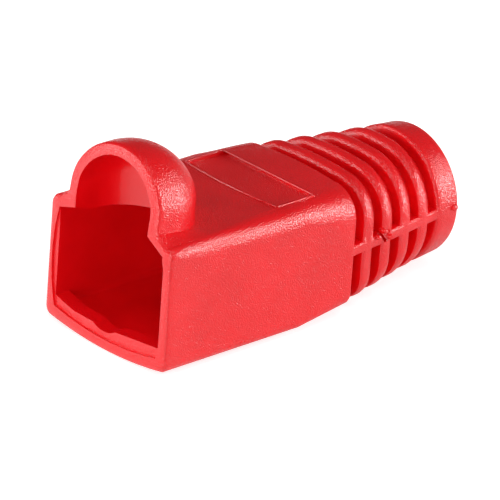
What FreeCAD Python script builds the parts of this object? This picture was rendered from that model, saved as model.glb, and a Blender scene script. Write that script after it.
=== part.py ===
import FreeCAD, Part
import math
import os
from FreeCAD import Vector

# Strain relief boot for an eight-way modular plug, moulded in one piece of soft PVC.
# Drawn with the mouth rim at Y = 0, the cable leaving along +Y, X across and Z up, in
# millimetres. At the end the boot is set down with its origin under its middle.

# Body, from the mouth rim back to the first groove of the tail
BODY_LENGTH = 20.0
HALF_WIDTH = 7.0
WALL = 1.0
FLOOR_BOW = 0.68            # how far the underside sags below its corners
REAR_FLOOR_BOW = 0.9        # at the rear the underside is lifted
REAR_LOW_Z = 0.7
REAR_CROWN = 0.2            # rise of the roof's middle at the rear
SHOULDER_Z = 10.0           # foot of the ramp and of the hood's legs
ROOF_Z = 11.25              # roof at the mouth, between the feet of the hood
ROOF_REAR_Z = 10.4
ROOF_HALF_WIDTH = 5.05      # flat of the roof at the mouth, as wide as the hood
RAMP_LENGTH = 5.0           # the roof ramps down from the hood this far back
SHOULDER_DROP = 0.1         # fall of the roof at its edges, behind the ramp
RIDGE_INSET = 0.1           # and how far in from the rounded corners it starts
REAR_RIDGE_INSET = 0.3
SQUARE_LENGTH = 14.6        # the corners stay nearly square this far back
RIDGE_RADIUS = 0.8
MOUTH_TOP_RADIUS = 0.8
REAR_TOP_RADIUS = 2.5
MOUTH_LOW_RADIUS = 0.7
REAR_LOW_RADIUS = 1.1
LEAST_RADIUS = 0.5          # inside corners of the core under the grooves
RIM_EDGE = 0.3              # rounding of the mouth rim and of the hood's front
REAR_EDGE = 0.2             # rounding where the body drops into the first groove
ROUND_STEPS = 2             # straight steps in each small rounding
FLATNESS = 0.0001           # a face this close to a plane is made a plane

# Ribbed tail
TAIL_LENGTH = 12.9
TAIL_RADIUS = 5.5
TAIL_AXIS_Z = 5.06
TAIL_TOP_RADIUS = 2.9
TAIL_LOW_RADIUS = 1.8
TAIL_FLAT = 0.1             # straight left on each side where the tail has become round
ROUND_LENGTH = 10.4         # the tail is round from the end ring on
RING_TAPER = 0.2
RING_EDGE = 0.25
GROOVE_COUNT = 5
GROOVE_WIDTH = 1.1
GROOVE_PITCH = 2.32
GROOVE_DEPTH = 1.3
OVERLAP = 0.3               # pieces that meet end to end run this far into each other
CROWN_FRONT = 0.72          # rounding of a rib's two edges along the tail
CROWN_REAR = 0.46
CROWN_TOP = 0.45            # and its height on top, at the sides and underneath
CROWN_SIDE = 0.16
CROWN_LOW = 0.1
SPINE_Z = 5.25
SPINE_HEIGHT = 0.95
SPINE_SINK = 0.03           # the spines lie this far below the crowns of the ribs
SPINE_EDGE = 0.16
CABLE_RADIUS = 3.25

# Hood over the plug's latch
HOOD_HALF_WIDTH = 5.13
HOOD_RISE = 4.6
HOOD_SIDE_RADIUS = 3.9      # arch: this radius at the sides, a flatter one over the crown
HOOD_SPRING_Z = 12.0        # where the upright legs turn into the arch
HOOD_STRAIGHT = 1.85        # length before the hood rounds off to the rear
HOOD_RAKE = 0.148           # lean of the front face, per millimetre of height
HOOD_WALL = 0.95
HOOD_EDGE = 0.16            # edge cut off round the leaning front
RAKE_FOOT_Z = 11.1

# Way in and the room for the plug
OPENING_HALF_WIDTH = 6.0
LEFT_SHOULDER_Z = 9.45      # the way in is a little higher at its right
LEFT_FOOT_Z = 10.1
RIGHT_SHOULDER_Z = 9.65
RIGHT_FOOT_Z = 10.8
RIM_STEP = 0.18             # the rim stands this far proud of the lip inside it
RIM_BULGE = 0.52
RIM_LOW_Z = 0.95
LIP_DEPTH = 1.4
LIP_LEFT = [(-6.0, 1.8), (-3.9, 1.25), (-1.5, 1.18)]    # top of the lip: x and z along it
LIP_DIP = [(-1.5, 1.18), (-0.3, 0.82), (1.05, 1.24)]
LIP_RIGHT = [(1.05, 1.24), (3.1, 1.47), (6.0, 1.78)]
STEP = 0.1                  # small steps where one cut runs just past another
CAVITY_ROOF_Z = 9.5
CAVITY_CORNER = 0.5
CAVITY_STRAIGHT = 13.5
CAVITY_LENGTH = 18.4

# Recess for a label in the roof, with a fine bead along three of its edges
LABEL_LEFT = -5.17
LABEL_RIGHT = 5.33
LABEL_FRONT = 12.65
LABEL_REAR = 16.6
LABEL_BOW = 0.35
LABEL_DEPTH = 0.2
BEAD_WIDTH = 0.1
BEAD_HEIGHT = 0.06

# Moulding scars: the torn gate on the right spine, the flash nub on the end ring
GATE_LUMPS = [(23.55, 6.0, 0.3), (24.3, 5.3, 0.32), (24.1, 5.75, 0.26), (22.85, 5.6, 0.22)]
GATE_SLIT = [(22.75, 6.3), (23.15, 6.15), (24.1, 4.95), (23.75, 4.9)]
GATE_SLIT_DEPTH = 0.45
LUMP_SIDES = 7
NUB_Y = 32.4
NUB_Z = 5.4
NUB_RADIUS = 0.5
NUB_PROUD = 0.35


def mirrored(point):
    return Vector(-point.x, point.y, point.z)


def rounded_corner(before, corner, after, radius):
    """Start, middle and end of the arc that rounds the corner between two straight lines."""
    u = before.sub(corner).normalize()
    v = after.sub(corner).normalize()
    half = u.getAngle(v) / 2
    reach = radius / math.tan(half)
    bisector = u.add(v).normalize()
    centre = corner.add(bisector * (radius / math.sin(half)))
    return corner.add(u * reach), centre.sub(bisector * radius), corner.add(v * reach)


def low_corner(y, half_width, low_z, bow, radius):
    """Points of the arc from the bowed floor up into the right side."""
    floor_radius = (half_width ** 2 + bow ** 2) / (2 * bow)
    floor_z = low_z - bow + floor_radius
    x = half_width - radius
    z = floor_z - math.sqrt((floor_radius - radius) ** 2 - x ** 2)
    down = math.atan2(z - floor_z, x)
    start = Vector(floor_radius * math.cos(down), y, floor_z + floor_radius * math.sin(down))
    middle = Vector(x + radius * math.cos(down / 2), y, z + radius * math.sin(down / 2))
    return start, middle, Vector(half_width, y, z)


def outline(y, low_z, bow, crown, corner, *pieces):
    """Closed wire: the floor, the given pieces of the right side up to the roof, and their mirror."""
    floor = Part.Arc(mirrored(corner[0]), Vector(0, y, low_z - bow), corner[0]).toShape()
    right = [Part.Arc(*corner).toShape()]
    left = [Part.Arc(*[mirrored(p) for p in reversed(corner)]).toShape()]
    for piece in pieces:
        curve = Part.Arc if len(piece) == 3 else Part.LineSegment
        right.append(curve(*piece).toShape())
        left.insert(0, curve(*[mirrored(p) for p in reversed(piece)]).toShape())
    top = right[-1].Vertexes[-1].Point
    if crown > 0:
        roof = Part.Arc(top, Vector(0, y, top.z + crown), mirrored(top)).toShape()
    else:
        roof = Part.LineSegment(top, mirrored(top)).toShape()
    return Part.Wire([floor] + right + [roof] + left)


def body_section(y, inset, share):
    """Outline across the body, drawn in by inset; share runs from 0, square, to 1, rounded."""
    def between(front, rear):
        return front + (rear - front) * share
    half = HALF_WIDTH - inset
    low_z = between(0, REAR_LOW_Z) + inset
    bow = between(FLOOR_BOW, REAR_FLOOR_BOW)
    roof_z = ROOF_REAR_Z - inset
    top_radius = between(MOUTH_TOP_RADIUS, REAR_TOP_RADIUS)
    roof_half = HALF_WIDTH - top_radius - between(RIDGE_INSET, REAR_RIDGE_INSET)
    corner = low_corner(y, half, low_z, bow, between(MOUTH_LOW_RADIUS, REAR_LOW_RADIUS))
    shoulder = Vector(half, y, roof_z - SHOULDER_DROP)
    ridge = Vector(roof_half - inset / 2, y, roof_z)
    top = rounded_corner(corner[2], shoulder, ridge, top_radius)
    roof = rounded_corner(shoulder, ridge, Vector(0, y, roof_z), RIDGE_RADIUS)
    sides = [(corner[2], top[0]), top, (top[2], roof[0]), roof]
    return outline(y, low_z, bow, between(0, REAR_CROWN), corner, *sides)


def tail_section(y, top=0, side=0, low=0):
    """Outline across the tail, at first like the body's and round at the end, less the three drops."""
    share = (y - BODY_LENGTH) / ROUND_LENGTH

    def between(start, end):
        return start + (end - start) * share
    ring_radius = TAIL_RADIUS + RING_TAPER
    end_corner = ring_radius - TAIL_FLAT / 2
    half = between(HALF_WIDTH, ring_radius) - side
    bow = REAR_FLOOR_BOW * (1 - share) ** 2
    low_z = between(REAR_LOW_Z, TAIL_AXIS_Z - ring_radius) + low
    roof_z = between(ROOF_REAR_Z, TAIL_AXIS_Z + ring_radius) - top
    low_radius = max(between(TAIL_LOW_RADIUS, end_corner) - max(side, low), LEAST_RADIUS)
    corner = low_corner(y, half, low_z, bow, low_radius)
    radius = between(TAIL_TOP_RADIUS, end_corner) - max(side, top)
    bend = rounded_corner(corner[2], Vector(half, y, roof_z), Vector(0, y, roof_z), radius)
    return outline(y, low_z, bow, REAR_CROWN * (1 - share), corner, (corner[2], bend[0]), bend)


def rounding(size):
    """Steps of a quarter round of this size: distance in from the end, share of the drop left there."""
    turns = [k * math.pi / 2 / ROUND_STEPS for k in range(ROUND_STEPS + 1)]
    return [(size * (1 - math.cos(a)), 1 - math.sin(a)) for a in turns]


def ruled_solid(sections):
    """Solid through the sections with straight rulings, whose level faces are made true planes."""
    faces = []
    for face in Part.makeLoft(sections, True, True).Faces:
        if face.findPlane(FLATNESS):
            flat = Part.Face(face.OuterWire)
            u0, u1, v0, v1 = face.ParameterRange
            outward = face.normalAt((u0 + u1) / 2, (v0 + v1) / 2)
            if flat.normalAt(0, 0).dot(outward) < 0:
                flat.reverse()
            face = flat
        faces.append(face)
    return Part.Solid(Part.Shell(faces))


def make_body():
    """Straight front length, the part whose corners turn round, and the ramp that carries the hood."""
    rim = ruled_solid([body_section(y, RIM_EDGE * share, 0) for y, share in rounding(RIM_EDGE)])
    front = Part.Face(body_section(RIM_EDGE, 0, 0)).extrude(Vector(0, SQUARE_LENGTH - RIM_EDGE, 0))
    rear = [body_section(SQUARE_LENGTH, 0, 0)]
    for y, share in reversed(rounding(REAR_EDGE)):
        rear.append(body_section(BODY_LENGTH - y, REAR_EDGE * share, 1))

    def ramp(y, inset, crest):
        foot = HALF_WIDTH - MOUTH_TOP_RADIUS
        corners = [
            (foot, SHOULDER_Z), (foot, ROOF_REAR_Z - inset), (ROOF_HALF_WIDTH - inset / 2, crest - inset)]
        right = [Vector(x, y, z) for x, z in corners]
        return Part.makePolygon(right + [mirrored(p) for p in reversed(right)] + right[:1])
    sections = [ramp(0, RIM_EDGE, ROOF_Z), ramp(RIM_EDGE, 0, ROOF_Z), ramp(RAMP_LENGTH, 0, ROOF_REAR_Z)]
    return [rim, front, ruled_solid(rear), ruled_solid(sections)]


def dome(half_width, rise, foot_z, reach, y_front):
    """Arch of three arcs run back from y_front, then rounded off in plan about an upright axis."""
    side_radius = HOOD_SIDE_RADIUS - (HOOD_HALF_WIDTH - half_width)
    inward = half_width - side_radius
    crown_radius = (inward ** 2 + rise ** 2 - side_radius ** 2) / (2 * (rise - side_radius))
    lean = math.atan2(crown_radius - rise, inward)

    def on_side(angle):
        x = inward + side_radius * math.cos(angle)
        return Vector(x, reach, HOOD_SPRING_Z + side_radius * math.sin(angle))

    def on_crown(angle):
        low = HOOD_SPRING_Z + rise - crown_radius
        return Vector(crown_radius * math.cos(angle), reach, low + crown_radius * math.sin(angle))
    crown = Vector(0, reach, HOOD_SPRING_Z + rise)
    arch = [
        Part.Arc(on_side(0), on_side(lean / 2), on_side(lean)).toShape(),
        Part.Arc(on_side(lean), on_crown((lean + math.pi / 2) / 2), crown).toShape()]
    foot = Vector(half_width, reach, foot_z)
    axis_foot = Vector(0, reach, foot_z)
    legs = Part.makePolygon([crown, axis_foot, foot, on_side(0)]).Edges
    half_face = Part.Face(Part.Wire(arch + legs))
    back = half_face.revolve(axis_foot, Vector(0, 0, 1), 180)
    right = half_face.extrude(Vector(0, y_front - reach, 0))
    left = right.mirror(Vector(0, 0, 0), Vector(1, 0, 0))
    return back.fuse([right, left]).removeSplitter()


def make_hood():
    """Dome with a leaning front whose edge is rounded."""
    hood = dome(HOOD_HALF_WIDTH, HOOD_RISE, SHOULDER_Z - WALL, HOOD_STRAIGHT, 0)
    height = HOOD_SPRING_Z + HOOD_RISE
    foot = Vector(-HALF_WIDTH, 0, RAKE_FOOT_Z)
    top = foot.add(Vector(0, HOOD_RAKE * height, height))
    ahead = Vector(0, -HOOD_STRAIGHT, 0)
    wedge = Part.Face(Part.makePolygon([foot, top, top.add(ahead), foot.add(ahead), foot]))
    hood = hood.cut(wedge.extrude(Vector(2 * HALF_WIDTH, 0, 0)))
    boxes = [(e, e.BoundBox) for e in hood.Edges]
    front = [
        e for e, box in boxes
        if box.YMax < HOOD_STRAIGHT / 2 and box.ZMax > HOOD_SPRING_Z and box.ZLength > HOOD_EDGE]
    return hood.makeChamfer(HOOD_EDGE, front)


def make_rib(start, stop):
    """Band of the tail from start to stop, its edges rounded most on top."""
    steps = [(start + y, share) for y, share in rounding(CROWN_FRONT)]
    steps += [(stop - y, share) for y, share in reversed(rounding(CROWN_REAR))]
    return ruled_solid([
        tail_section(y, CROWN_TOP * share, CROWN_SIDE * share, CROWN_LOW * share) for y, share in steps])


def flank(y):
    """Half width of the tail between the first groove and the end ring."""
    return HALF_WIDTH + (TAIL_RADIUS + RING_TAPER - HALF_WIDTH) * (y - BODY_LENGTH) / ROUND_LENGTH


def make_spine(stop):
    """Bar along the right side that joins the ribs, with its long edges cut off."""
    def profile(y):
        out = flank(y) - SPINE_SINK
        inner = out - GROOVE_DEPTH - WALL / 2
        low = SPINE_Z - SPINE_HEIGHT / 2
        high = SPINE_Z + SPINE_HEIGHT / 2
        corners = [(inner, low), (out - SPINE_EDGE, low), (out, low + SPINE_EDGE),
                   (out, high - SPINE_EDGE), (out - SPINE_EDGE, high), (inner, high), (inner, low)]
        return Part.makePolygon([Vector(x, y, z) for x, z in corners])
    return ruled_solid([profile(BODY_LENGTH - WALL / 2), profile(stop)])


def make_groove_floor(start):
    """Straight length of the core under one groove, run a little into the ribs beside it."""
    section = tail_section(start, GROOVE_DEPTH, GROOVE_DEPTH, GROOVE_DEPTH)
    return Part.Face(section).extrude(Vector(0, GROOVE_WIDTH + 2 * OVERLAP, 0))


def make_end_ring(start, stop):
    """Last band of the tail, turned round the cable's axis, with both edges rounded."""
    big = TAIL_RADIUS + RING_TAPER
    rim = [(start + y, big - RING_EDGE * share) for y, share in rounding(RING_EDGE)]
    rim += [(stop - y, TAIL_RADIUS - RING_EDGE * share) for y, share in reversed(rounding(RING_EDGE))]
    points = [Vector(0, start, TAIL_AXIS_Z)] + [Vector(r, y, TAIL_AXIS_Z) for y, r in rim]
    points += [Vector(0, stop, TAIL_AXIS_Z)]
    half_face = Part.Face(Part.makePolygon(points + points[:1]))
    return half_face.revolve(points[0], Vector(0, 1, 0), 360)


def make_tail():
    """Ribs, the core under the grooves, the end ring and the two side spines that join them."""
    end = BODY_LENGTH + TAIL_LENGTH
    pieces = []
    for i in range(GROOVE_COUNT):
        start = BODY_LENGTH + i * GROOVE_PITCH + GROOVE_WIDTH
        pieces.append(make_groove_floor(start - GROOVE_WIDTH - OVERLAP))
        if i < GROOVE_COUNT - 1:
            pieces.append(make_rib(start, start + GROOVE_PITCH - GROOVE_WIDTH))
    pieces.append(make_end_ring(start, end))
    spine = make_spine(start + WALL / 2)
    pieces.append(spine)
    pieces.append(spine.mirror(Vector(0, 0, 0), Vector(1, 0, 0)))
    return pieces


def make_cavity():
    """Room for the plug, narrowing behind it to the bore for the cable."""
    def room(y):
        half = HALF_WIDTH - WALL
        corner = low_corner(y, half, WALL, FLOOR_BOW, CAVITY_CORNER)
        bend = rounded_corner(
            corner[2], Vector(half, y, CAVITY_ROOF_Z), Vector(0, y, CAVITY_ROOF_Z), CAVITY_CORNER)
        return outline(y, WALL, FLOOR_BOW, 0, corner, (corner[2], bend[0]), bend)

    def square(y, half_width, half_height):
        corners = [(-half_width, -half_height), (half_width, -half_height),
                   (half_width, half_height), (-half_width, half_height), (-half_width, -half_height)]
        return Part.makePolygon([Vector(x, y, TAIL_AXIS_Z + z) for x, z in corners])
    start = RIM_STEP + LIP_DEPTH
    straight = Part.Face(room(start)).extrude(Vector(0, CAVITY_STRAIGHT - start, 0))
    throat = ruled_solid([
        square(CAVITY_STRAIGHT - WALL, HALF_WIDTH - WALL - STEP, CAVITY_ROOF_Z - TAIL_AXIS_Z - STEP),
        square(CAVITY_LENGTH, CABLE_RADIUS + STEP, CABLE_RADIUS + STEP)])
    bore = Part.makeCylinder(
        CABLE_RADIUS, BODY_LENGTH + TAIL_LENGTH - CAVITY_STRAIGHT,
        Vector(0, CAVITY_STRAIGHT + WALL, TAIL_AXIS_Z), Vector(0, 1, 0))
    return [straight, throat, bore]


def make_opening():
    """Way in through the lip, and the shallow step that leaves the rim proud of it."""
    def ahead(x, z):
        return Vector(x, -WALL, z)
    half = OPENING_HALF_WIDTH
    foot_half = HOOD_HALF_WIDTH - HOOD_WALL - 2 * STEP
    upper = [(half, RIGHT_SHOULDER_Z), (foot_half, RIGHT_FOOT_Z),
             (-foot_half, LEFT_FOOT_Z), (-half, LEFT_SHOULDER_Z)]
    edges = [Part.Arc(*[ahead(x, z) for x, z in LIP_DIP]).toShape()]
    edges += Part.makePolygon([ahead(x, z) for x, z in LIP_RIGHT + upper + LIP_LEFT]).Edges
    way_in = Part.Face(Part.Wire(edges)).extrude(Vector(0, WALL + STEP + RIM_STEP + LIP_DEPTH, 0))
    low = ahead(half - STEP / 2, RIM_LOW_Z)
    high = ahead(half, LEFT_SHOULDER_Z - STEP)
    side = ahead(half + RIM_BULGE, (low.z + high.z) / 2)
    step = Part.Wire([
        Part.Arc(low, side, high).toShape(),
        Part.LineSegment(high, mirrored(high)).toShape(),
        Part.Arc(mirrored(high), mirrored(side), mirrored(low)).toShape(),
        Part.Arc(mirrored(low), ahead(0, RIM_LOW_Z - FLOOR_BOW), low).toShape()])
    return [way_in, Part.Face(step).extrude(Vector(0, WALL + RIM_STEP, 0))]


def make_label():
    """The bead to add along the front and the ends of the label, and the recess to cut."""
    def block(margin, height):
        def at(x, y):
            return Vector(x, y, ROOF_REAR_Z - LABEL_DEPTH)
        left, right, front = LABEL_LEFT - margin, LABEL_RIGHT + margin, LABEL_FRONT - margin
        middle = at((left + right) / 2, front - LABEL_BOW)
        bow = Part.Arc(at(left, front), middle, at(right, front)).toShape()
        corners = [(right, front), (right, LABEL_REAR), (left, LABEL_REAR), (left, front)]
        sides = Part.makePolygon([at(x, y) for x, y in corners]).Edges
        return Part.Face(Part.Wire([bow] + sides)).extrude(Vector(0, 0, height))
    return block(BEAD_WIDTH, LABEL_DEPTH + BEAD_HEIGHT), block(0, WALL)


def make_scars():
    """Lumps and a slit where the gate was torn off, and the nub of flash at the tail's end."""
    def lump(top, y, z, radius):
        def ring(x, r):
            turns = [k * 2 * math.pi / LUMP_SIDES for k in range(LUMP_SIDES + 1)]
            return Part.makePolygon([Vector(x, y + r * math.cos(a), z + r * math.sin(a)) for a in turns])
        return ruled_solid([ring(top - 2 * radius, radius), ring(top, radius / 2)])
    lumps = [lump(flank(y) + r, y, z, r) for y, z, r in GATE_LUMPS]
    nub = lump(TAIL_RADIUS + NUB_PROUD, NUB_Y, NUB_Z, NUB_RADIUS)
    corners = [Vector(flank(y) - GATE_SLIT_DEPTH, y, z) for y, z in GATE_SLIT]
    slit = Part.Face(Part.makePolygon(corners + corners[:1])).extrude(Vector(WALL, 0, 0))
    return lumps + [nub], slit


def make_boot():
    lumps, slit = make_scars()
    bead, recess = make_label()
    front, *rest = make_body()
    outer = front.fuse(rest + [make_hood(), bead] + make_tail() + lumps)
    pocket = dome(
        HOOD_HALF_WIDTH - HOOD_WALL, HOOD_RISE - HOOD_WALL, SHOULDER_Z - 2 * WALL, HOOD_STRAIGHT, -WALL)
    return outer.cut([recess, slit, pocket] + make_opening() + make_cavity())


boot = make_boot().removeSplitter()
boot.translate(Vector(0, -(BODY_LENGTH + TAIL_LENGTH) / 2, FLOOR_BOW))
os.makedirs("parts", exist_ok=True)
boot.exportStep("parts/boot.step")
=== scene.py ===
from math import cos, radians, sin

import bmesh
import bpy
import numpy as np
from mathutils import Matrix, Vector
from mathutils.bvhtree import BVHTree


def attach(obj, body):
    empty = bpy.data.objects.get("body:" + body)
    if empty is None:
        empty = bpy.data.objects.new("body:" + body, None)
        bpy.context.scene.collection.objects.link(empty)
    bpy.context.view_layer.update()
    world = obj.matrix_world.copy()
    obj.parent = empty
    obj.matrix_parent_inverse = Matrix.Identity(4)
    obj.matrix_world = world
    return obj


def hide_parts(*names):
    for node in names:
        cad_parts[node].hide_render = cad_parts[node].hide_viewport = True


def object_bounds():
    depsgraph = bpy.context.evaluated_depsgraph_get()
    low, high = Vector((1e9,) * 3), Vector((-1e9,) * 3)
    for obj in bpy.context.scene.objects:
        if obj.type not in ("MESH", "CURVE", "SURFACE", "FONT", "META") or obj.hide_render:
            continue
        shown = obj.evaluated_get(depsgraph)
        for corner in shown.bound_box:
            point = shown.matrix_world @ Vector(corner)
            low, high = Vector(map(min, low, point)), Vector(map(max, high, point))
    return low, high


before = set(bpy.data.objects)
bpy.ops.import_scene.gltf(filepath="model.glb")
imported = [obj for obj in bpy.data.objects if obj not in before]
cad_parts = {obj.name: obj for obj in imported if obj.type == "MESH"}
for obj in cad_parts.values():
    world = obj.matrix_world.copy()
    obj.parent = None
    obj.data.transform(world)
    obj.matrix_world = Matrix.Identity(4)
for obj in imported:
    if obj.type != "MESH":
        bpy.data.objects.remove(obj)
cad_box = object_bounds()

# ---------------------------------------------------------------------------
# Camera.  A long lens from the right of the mouth and a little above it,
# rolled a few degrees, looking at the middle of the body.
# ---------------------------------------------------------------------------
# Named lengths are in millimetres, which MM turns into metres, and named angles in degrees.
MM = 0.001
VIEW_AZIMUTH = 45.525
VIEW_ELEVATION = 24.379
VIEW_ROLL = 4.164
VIEW_DISTANCE = 600.0
VIEW_TARGET = Vector((1.342, -2.478, 5.525))
LENS_LENGTH = 547.04
SENSOR_WIDTH = 36.0


def direction(azimuth, elevation):
    """Unit vector away from the boot, at azimuth from the front towards the right and elevation up."""
    turn, rise = radians(azimuth), radians(elevation)
    return Vector((sin(turn) * cos(rise), -cos(turn) * cos(rise), sin(rise)))


back = direction(VIEW_AZIMUTH, VIEW_ELEVATION)
level_right = direction(VIEW_AZIMUTH + 90.0, 0.0)
level_up = back.cross(level_right)
roll = radians(VIEW_ROLL)
right = level_right * cos(roll) + level_up * sin(roll)
up = level_up * cos(roll) - level_right * sin(roll)

camera_data = bpy.data.cameras.new("camera")
camera_data.lens = LENS_LENGTH
camera_data.sensor_width = SENSOR_WIDTH
camera_data.clip_start = 10.0 * MM
camera_data.clip_end = 10000.0 * MM
camera = bpy.data.objects.new("camera", camera_data)
camera.matrix_world = (Matrix.Translation((VIEW_TARGET + back * VIEW_DISTANCE) * MM)
                       @ Matrix((right, up, back)).transposed().to_4x4())
bpy.context.scene.collection.objects.link(camera)
bpy.context.scene.camera = camera
bpy.context.scene.view_settings.view_transform = "Standard"

# ---------------------------------------------------------------------------
# Boot.  One injection moulding in soft red PVC: a square-mouthed body that
# takes the rear of the plug, a domed hood over the plug's latch and a
# ribbed tail that grips the cable.
# ---------------------------------------------------------------------------
# Corners less than MERGE_DISTANCE apart are one, and NEAR is the slack of the places below.
MERGE_DISTANCE = 0.0005
NEAR = 0.02
# The body: square from the rim for SQUARE_LENGTH, then turning round up to BODY_LENGTH.
RIM_Y = cad_box[0][1] / MM
BODY_HALF_WIDTH = 7.0
BODY_LENGTH = 20.0
SQUARE_LENGTH = 14.6
ROOF_Z = 11.08
MOUTH_RADIUS, REAR_RADIUS = 0.8, 2.5
# How much rounder its upper long edges are than the solid's, where behind the rim that grows,
# how far beside the edge it fades and how deep under the surface it goes.  The surface is cut
# across at CUTS behind the rim, so that it has corners enough to follow.
ROUNDER = 0.65
DEEPER_END = 4.0
WIDER_START, WIDER_END = 4.6, 11.0
FADE = 0.8
SHALLOW, DEEP = 0.4, 0.6
CUTS = (0.8, 1.6, 2.4, 3.2, DEEPER_END, WIDER_START, 5.6, 6.6, 7.6, 8.6, 9.8, WIDER_END, 12.8)
# The room behind the mouth's lip, and the pocket under the hood.
LIP_REAR_Y = -14.77
CEILING_Z = 10.18
POCKET_HALF_WIDTH = 4.1
# The nub on the tail's end ring.
NUB_Y, NUB_Z = 15.95, 6.08
NUB_REACH = 0.6
NUB_FOOT = 5.55
NUB_SQUASH = 0.55


def read_node(name):
    """Corner positions and triangles of a CAD node."""
    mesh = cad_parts[name].data
    corners = np.empty(len(mesh.vertices) * 3)
    mesh.vertices.foreach_get("co", corners)
    triangles = np.empty(len(mesh.polygons) * 3, dtype=np.int64)
    mesh.polygons.foreach_get("vertices", triangles)
    return corners.reshape(-1, 3), triangles.reshape(-1, 3)


def merge_equal(corners, triangles):
    """The same surface with equal corners made one and empty triangles left out."""
    keys = np.round(corners / (MERGE_DISTANCE * MM)).astype(np.int64)
    _, first, same = np.unique(keys, axis=0, return_index=True, return_inverse=True)
    triangles = same.reshape(-1)[triangles.reshape(-1)].reshape(-1, 3)
    whole = ((triangles[:, 0] != triangles[:, 1]) & (triangles[:, 1] != triangles[:, 2])
             & (triangles[:, 2] != triangles[:, 0]))
    return corners[first], triangles[whole]


def cut_across(corners, triangles, distances):
    """The same surface with its faces cut by planes across the length, at distances behind the rim."""
    mesh = bpy.data.meshes.new("boot_to_cut")
    mesh.from_pydata(corners.tolist(), [], triangles.tolist())
    cut = bmesh.new()
    cut.from_mesh(mesh)
    for distance in distances:
        bmesh.ops.bisect_plane(cut, geom=cut.verts[:] + cut.edges[:] + cut.faces[:],
                               dist=MERGE_DISTANCE * MM, plane_no=(0.0, 1.0, 0.0),
                               plane_co=(0.0, (RIM_Y + distance) * MM, 0.0))
    cut.to_mesh(mesh)
    cut.free()
    points = np.empty(len(mesh.vertices) * 3)
    mesh.vertices.foreach_get("co", points)
    faces = [list(face.vertices) for face in mesh.polygons]
    bpy.data.meshes.remove(mesh)
    return points.reshape(-1, 3), faces


def round_shoulders(corners):
    """Make the body's two upper long edges rounder.

    In the section across the body at a distance behind the rim, the old edge is an arc of radius r about
    a centre r in from the side and r below the roof.  The new edge reaches further down the side by
    deeper and further across the roof by wider.  Both grow smoothly to ROUNDER, the first from the rim
    to DEEPER_END and the second from WIDER_START, behind the ramp, to WIDER_END, and both fall back to
    0 where the body turns round at its rear.  A point on the arc keeps its angle about the moved centre
    and its depth under the surface.  A point beside the arc, on the roof or on the side, slides, less as
    it lies further from the arc, and not at all past FADE.  Points deeper than SHALLOW move less, and
    those deeper than DEEP stay.
    """
    x, y, z = corners.T / MM
    side = np.sign(x)
    x = np.abs(x)
    behind = y - RIM_Y
    turned = np.clip((behind - SQUARE_LENGTH) / (BODY_LENGTH - SQUARE_LENGTH), 0.0, 1.0)
    radius = MOUTH_RADIUS + (REAR_RADIUS - MOUTH_RADIUS) * turned
    centre_x, centre_z = BODY_HALF_WIDTH - radius, ROOF_Z - radius
    out, above = x - centre_x, z - centre_z
    reach = np.maximum(np.hypot(out, above), NEAR)
    on_arc = (out > 0) & (above > 0)
    on_roof = (out <= 0) & (above > 0)
    on_side = (out > 0) & (above <= 0)
    depth = np.select([on_arc, on_roof, on_side], [radius - reach, ROOF_Z - z, BODY_HALF_WIDTH - x], DEEP)
    most = ROUNDER * np.clip((DEEP - depth) / (DEEP - SHALLOW), 0.0, 1.0)

    def grown(share):
        """Most times three share squared less two share cubed, and back to 0 as the body turns."""
        share = np.clip(np.minimum(share, 1.0 - turned), 0.0, 1.0)
        return most * share * share * (3.0 - 2.0 * share)

    deeper = grown(behind / DEEPER_END)
    wider = grown((behind - WIDER_START) / (WIDER_END - WIDER_START))
    new_x = np.select([on_arc, on_roof], [centre_x - wider + out * (1.0 + wider / reach),
                                          x - wider * np.clip(1.0 + out / FADE, 0.0, 1.0)], x)
    new_z = np.select([on_arc, on_side], [centre_z - deeper + above * (1.0 + deeper / reach),
                                          z - deeper * np.clip(1.0 + above / FADE, 0.0, 1.0)], z)
    return np.column_stack([side * new_x, y, new_z]) * MM


corners, triangles = read_node("boot")
x, y, z = corners.T / MM
# The lip's ceiling runs on into the room behind it without a step.
step = (np.abs(y - LIP_REAR_Y) < NEAR) & (z > CEILING_Z) & (np.abs(x) > POCKET_HALF_WIDTH)
corners[step, 2] = CEILING_Z * MM
# The spines start flush with the body's sides.
corners[:, 0] = np.clip(corners[:, 0], -BODY_HALF_WIDTH * MM, BODY_HALF_WIDTH * MM)
# The nub on the tail's end ring is a low soft pimple.
nub = (np.abs(y - NUB_Y) < NUB_REACH) & (np.abs(z - NUB_Z) < NUB_REACH) & (x > NUB_FOOT)
corners[nub, 0] = (NUB_FOOT + NUB_SQUASH * (x[nub] - NUB_FOOT)) * MM
points, faces = cut_across(*merge_equal(corners, triangles), CUTS)
points = round_shoulders(points)

# A fine rounded bead runs along the front and the ends of the label's recess, and a
# finer one along its rear.
LABEL_LEFT, LABEL_RIGHT = -5.22, 5.38
LABEL_FRONT, LABEL_REAR = -3.85, 0.15
LABEL_BOW = 0.35
BOW_POINTS = 15
BEAD_Z = 11.1
BEAD_RADIUS, REAR_BEAD_RADIUS = 0.1, 0.09
BEAD_SIDES = 8


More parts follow.
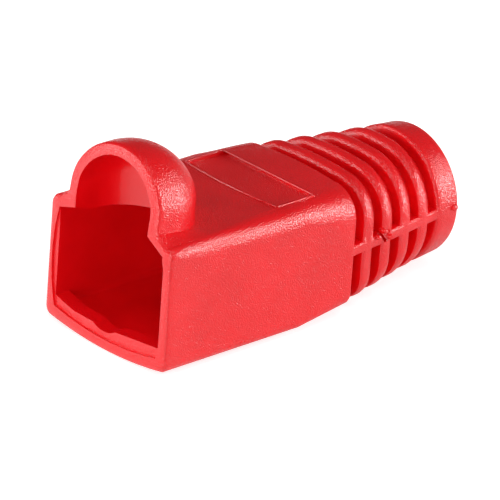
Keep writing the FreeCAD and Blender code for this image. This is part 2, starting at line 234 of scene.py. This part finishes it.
def bead(path, radius, first):
    """A round string along a path: points on BEAD_SIDES evenly turned spokes about each path point,
    square to the way ahead, joined by quads numbered from first, with closed ends."""
    path = np.asarray(path)
    ahead = np.gradient(path, axis=0)
    ahead /= np.linalg.norm(ahead, axis=1)[:, None]
    across = np.cross(ahead, (0.0, 0.0, 1.0))
    across /= np.linalg.norm(across, axis=1)[:, None]
    above = np.cross(across, ahead)
    turns = np.arange(BEAD_SIDES) * 2 * np.pi / BEAD_SIDES
    rings = path[:, None] + radius * (np.cos(turns)[:, None] * across[:, None]
                                      + np.sin(turns)[:, None] * above[:, None])
    spoke = np.arange(BEAD_SIDES)
    following = np.roll(spoke, -1)
    wall = np.column_stack([spoke, spoke + BEAD_SIDES, following + BEAD_SIDES, following])
    ring_starts = first + np.arange(len(path)) * BEAD_SIDES
    walls = (wall + ring_starts[:-1, None, None]).reshape(-1, 4)
    ends = [spoke + ring_starts[0], spoke[::-1] + ring_starts[-1]]
    return (rings.reshape(-1, 3) * MM).tolist(), walls.tolist() + [end.tolist() for end in ends]


label_middle, label_half = (LABEL_LEFT + LABEL_RIGHT) / 2, (LABEL_RIGHT - LABEL_LEFT) / 2
share = np.linspace(-1.0, 1.0, BOW_POINTS)
bow = np.column_stack([label_middle + label_half * share, LABEL_FRONT - LABEL_BOW * (1 - share * share),
                       np.full(BOW_POINTS, BEAD_Z)])
front_left, front_right = (LABEL_LEFT, LABEL_FRONT, BEAD_Z), (LABEL_RIGHT, LABEL_FRONT, BEAD_Z)
rear_left, rear_right = (LABEL_LEFT, LABEL_REAR, BEAD_Z), (LABEL_RIGHT, LABEL_REAR, BEAD_Z)
skin_points, skin_faces = points.tolist(), faces
for path, radius in ((bow, BEAD_RADIUS), ((front_right, rear_right), BEAD_RADIUS),
                     ((front_left, rear_left), BEAD_RADIUS), ((rear_left, rear_right), REAR_BEAD_RADIUS)):
    more_points, more_faces = bead(path, radius, len(skin_points))
    skin_points += more_points
    skin_faces += more_faces

# Corners sharper than EDGE_ANGLE show as edges, apart from those on the nub and on the torn
# crumbs of the gate, which stand out from the tail's tapering right flank.
EDGE_ANGLE = 46.0
SCAR_Y, SCAR_Z = 7.15, 6.3
SCAR_REACH = 1.5
FLANK_Y = RIM_Y + BODY_LENGTH
FLANK_SLOPE = 0.105

boot_mesh = bpy.data.meshes.new("boot_skin")
boot_mesh.from_pydata(skin_points, [], skin_faces)
boot_mesh.shade_smooth()
boot_mesh.set_sharp_from_angle(angle=radians(EDGE_ANGLE))
ends = np.empty(len(boot_mesh.edges) * 2, dtype=np.int64)
boot_mesh.edges.foreach_get("vertices", ends)
x, y, z = np.asarray(skin_points)[ends.reshape(-1, 2)].mean(axis=1).T / MM
flank = BODY_HALF_WIDTH - FLANK_SLOPE * (y - FLANK_Y)
at_scar = np.hypot(y - SCAR_Y, z - SCAR_Z) < SCAR_REACH
at_nub = np.hypot(y - NUB_Y, z - NUB_Z) < NUB_REACH
soft = (x > flank + NEAR) & (at_scar | at_nub)
sharp = np.empty(len(boot_mesh.edges), dtype=bool)
edge_marks = boot_mesh.attributes["sharp_edge"].data
edge_marks.foreach_get("value", sharp)
edge_marks.foreach_set("value", sharp & ~soft)

# The outside is grained by the mould; the faces that look onto the boot itself, inside
# the mouth, the hood and the grooves, were made by polished cores.  A face is taken as
# inside when it sees the boot in INSIDE_LOOKS or more of five directions, or looks forward
# between the hood's front and its rear.
INSIDE_LOOKS = 3
FORWARD = -0.3
HOOD_FRONT_Y, HOOD_REAR_Y = -15.6, -10.0

tree = BVHTree.FromPolygons(skin_points, skin_faces)
grained = []
for face in boot_mesh.polygons:
    away = face.normal
    start = face.center + away * NEAR * MM
    aside = away.orthogonal().normalized()
    over = away.cross(aside)
    looks = (away, away + aside, away - aside, away + over, away - over)
    met = sum(tree.ray_cast(start, look)[0] is not None for look in looks)
    forward = away.y < FORWARD and HOOD_FRONT_Y * MM < start.y < HOOD_REAR_Y * MM
    grained.append(met < INSIDE_LOOKS and not forward)
grain_marks = boot_mesh.attributes.new("grained", "FLOAT", "FACE")
grain_marks.data.foreach_set("value", np.asarray(grained, dtype=np.float32))
boot = bpy.data.objects.new("boot_skin", boot_mesh)
bpy.context.scene.collection.objects.link(boot)
even_normals = boot.modifiers.new("even_normals", "WEIGHTED_NORMAL")
even_normals.keep_sharp = True
even_normals.weight = 80

# The soft PVC: a little light goes into it, its red is faintly clouded, and the grain is a
# fine bump, nearly gone on the polished faces.
pvc = bpy.data.materials.new("soft_red_pvc")
pvc.use_nodes = True
nodes, links = pvc.node_tree.nodes, pvc.node_tree.links
surface = nodes["Principled BSDF"]
surface.inputs["Roughness"].default_value = 0.27
surface.inputs["IOR"].default_value = 1.62
surface.inputs["Subsurface Weight"].default_value = 0.3
surface.inputs["Subsurface Radius"].default_value = (1.0, 0.1, 0.06)
surface.inputs["Subsurface Scale"].default_value = 1.0 * MM
place = nodes.new("ShaderNodeTexCoord")
cloud = nodes.new("ShaderNodeTexNoise")
cloud.inputs["Scale"].default_value = 260.0
cloud.inputs["Detail"].default_value = 3.0
links.new(place.outputs["Object"], cloud.inputs["Vector"])
tint = nodes.new("ShaderNodeValToRGB")
tint.color_ramp.elements[0].position = 0.35
tint.color_ramp.elements[0].color = (0.78, 0.002, 0.0055, 1.0)
tint.color_ramp.elements[1].position = 0.68
tint.color_ramp.elements[1].color = (0.86, 0.003, 0.008, 1.0)
links.new(cloud.outputs["Fac"], tint.inputs["Fac"])
links.new(tint.outputs["Color"], surface.inputs["Base Color"])
grain = nodes.new("ShaderNodeTexNoise")
grain.inputs["Scale"].default_value = 9000.0
grain.inputs["Detail"].default_value = 0.0
links.new(place.outputs["Object"], grain.inputs["Vector"])
marked = nodes.new("ShaderNodeAttribute")
marked.attribute_name = "grained"
polish = nodes.new("ShaderNodeMapRange")
polish.inputs["To Min"].default_value = 0.15
polish.inputs["To Max"].default_value = 1.0
links.new(marked.outputs["Fac"], polish.inputs["Value"])
relief = nodes.new("ShaderNodeBump")
relief.inputs["Distance"].default_value = 0.044 * MM
links.new(polish.outputs["Result"], relief.inputs["Strength"])
links.new(grain.outputs["Fac"], relief.inputs["Height"])
links.new(relief.outputs["Normal"], surface.inputs["Normal"])

boot_mesh.materials.append(pvc)
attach(boot, "root")
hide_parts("boot")

# ---------------------------------------------------------------------------
# Floor.  A table covered with matt white paper, which shows plain white with
# the boot's soft shadow on it.  In the boot's gloss only, the floor glows as a
# painted reflection, dim beside the boot and brighter towards the front left.
# ---------------------------------------------------------------------------
FLOOR_HALF = 1500.0
REFLECTION_GLOW_SIDE = (-0.69, -0.72, 0.0)
GLOW_DIM_FROM, GLOW_BRIGHT_FROM = -4.0, 22.0

floor_mesh = bpy.data.meshes.new("floor")
floor_corners = np.array([(-1.0, -1.0, 0.0), (1.0, -1.0, 0.0), (1.0, 1.0, 0.0), (-1.0, 1.0, 0.0)])
floor_mesh.from_pydata((floor_corners * FLOOR_HALF * MM).tolist(), [], [(0, 1, 2, 3)])
floor = bpy.data.objects.new("floor", floor_mesh)
bpy.context.scene.collection.objects.link(floor)
paper = bpy.data.materials.new("white_paper_with_reflection_glow")
paper.use_nodes = True
nodes, links = paper.node_tree.nodes, paper.node_tree.links
surface = nodes["Principled BSDF"]
surface.inputs["Base Color"].default_value = (0.86, 0.86, 0.86, 1.0)
surface.inputs["Roughness"].default_value = 0.9
surface.inputs["Specular IOR Level"].default_value = 0.1
surface.inputs["Emission Color"].default_value = (1.0, 1.0, 1.0, 1.0)
ray = nodes.new("ShaderNodeLightPath")
place = nodes.new("ShaderNodeTexCoord")
# Painted reflection: glossy rays see the floor glow, from 0.12 beside the boot up to 0.8 towards the
# front left, which lifts the sheen on the boot.
to_glow_side = nodes.new("ShaderNodeVectorMath")
to_glow_side.operation = "DOT_PRODUCT"
to_glow_side.inputs[1].default_value = REFLECTION_GLOW_SIDE
links.new(place.outputs["Object"], to_glow_side.inputs[0])
reflection_glow_ramp = nodes.new("ShaderNodeMapRange")
reflection_glow_ramp.interpolation_type = "SMOOTHSTEP"
reflection_glow_ramp.inputs["From Min"].default_value = GLOW_DIM_FROM * MM
reflection_glow_ramp.inputs["From Max"].default_value = GLOW_BRIGHT_FROM * MM
reflection_glow_ramp.inputs["To Min"].default_value = 0.12
reflection_glow_ramp.inputs["To Max"].default_value = 0.8
links.new(to_glow_side.outputs["Value"], reflection_glow_ramp.inputs["Value"])
painted_reflection_glow = nodes.new("ShaderNodeMath")
painted_reflection_glow.operation = "MULTIPLY"
links.new(ray.outputs["Is Glossy Ray"], painted_reflection_glow.inputs[0])
links.new(reflection_glow_ramp.outputs["Result"], painted_reflection_glow.inputs[1])
# The camera sees the floor glow evenly white; glossy rays see only the painted reflection glow.
shown = nodes.new("ShaderNodeMath")
shown.operation = "MULTIPLY_ADD"
shown.inputs[1].default_value = 0.7
links.new(ray.outputs["Is Camera Ray"], shown.inputs[0])
links.new(painted_reflection_glow.outputs["Value"], shown.inputs[2])
links.new(shown.outputs["Value"], surface.inputs["Emission Strength"])
floor_mesh.materials.append(paper)

# ---------------------------------------------------------------------------
# Light.  Two small softboxes at the right rear draw the highlights on the
# rounded edges.  Broad ones fill from the right, left, front and top, a small
# lamp gives the left a glint, and a weak white surround evens them out.
# ---------------------------------------------------------------------------
LAMP_TARGET = Vector((0.0, 0.0, 6.0))
LAMP_DISTANCE, FRONT_LAMP_DISTANCE = 900.0, 1000.0

for name, azimuth, elevation, distance, width, height, power in (
        ("right_rear_softbox", 148.0, 22.0, LAMP_DISTANCE, 120.0, 200.0, 2.7),
        ("low_right_rear_softbox", 141.0, 6.0, LAMP_DISTANCE, 200.0, 160.0, 3.6),
        ("right_softbox", 95.0, 8.0, LAMP_DISTANCE, 700.0, 500.0, 0.5),
        ("left_front_softbox", -42.0, 16.0, LAMP_DISTANCE, 400.0, 600.0, 3.8),
        ("left_glint_lamp", -55.0, 38.0, LAMP_DISTANCE, 150.0, 150.0, 0.35),
        ("front_softbox", 18.0, 10.0, FRONT_LAMP_DISTANCE, 500.0, 350.0, 4.7),
        ("top_softbox", 60.0, 62.0, LAMP_DISTANCE, 500.0, 500.0, 2.1)):
    lamp = bpy.data.lights.new(name, "AREA")
    lamp.shape = "RECTANGLE"
    lamp.size = width * MM
    lamp.size_y = height * MM
    lamp.energy = power
    away = direction(azimuth, elevation)
    holder = bpy.data.objects.new(name, lamp)
    holder.location = (LAMP_TARGET + away * distance) * MM
    holder.rotation_euler = away.to_track_quat("Z", "Y").to_euler()
    bpy.context.scene.collection.objects.link(holder)

world = bpy.data.worlds.new("studio")
bpy.context.scene.world = world
world.use_nodes = True
nodes, links = world.node_tree.nodes, world.node_tree.links
surround = nodes["Background"]
surround.inputs["Color"].default_value = (1.0, 1.0, 1.0, 1.0)
surround.inputs["Strength"].default_value = 0.12
plain = nodes.new("ShaderNodeBackground")
plain.inputs["Color"].default_value = (1.0, 1.0, 1.0, 1.0)
plain.inputs["Strength"].default_value = 1.0
ray = nodes.new("ShaderNodeLightPath")
choose = nodes.new("ShaderNodeMixShader")
links.new(ray.outputs["Is Camera Ray"], choose.inputs["Fac"])
links.new(surround.outputs["Background"], choose.inputs[1])
links.new(plain.outputs["Background"], choose.inputs[2])
links.new(choose.outputs["Shader"], nodes["World Output"].inputs["Surface"])
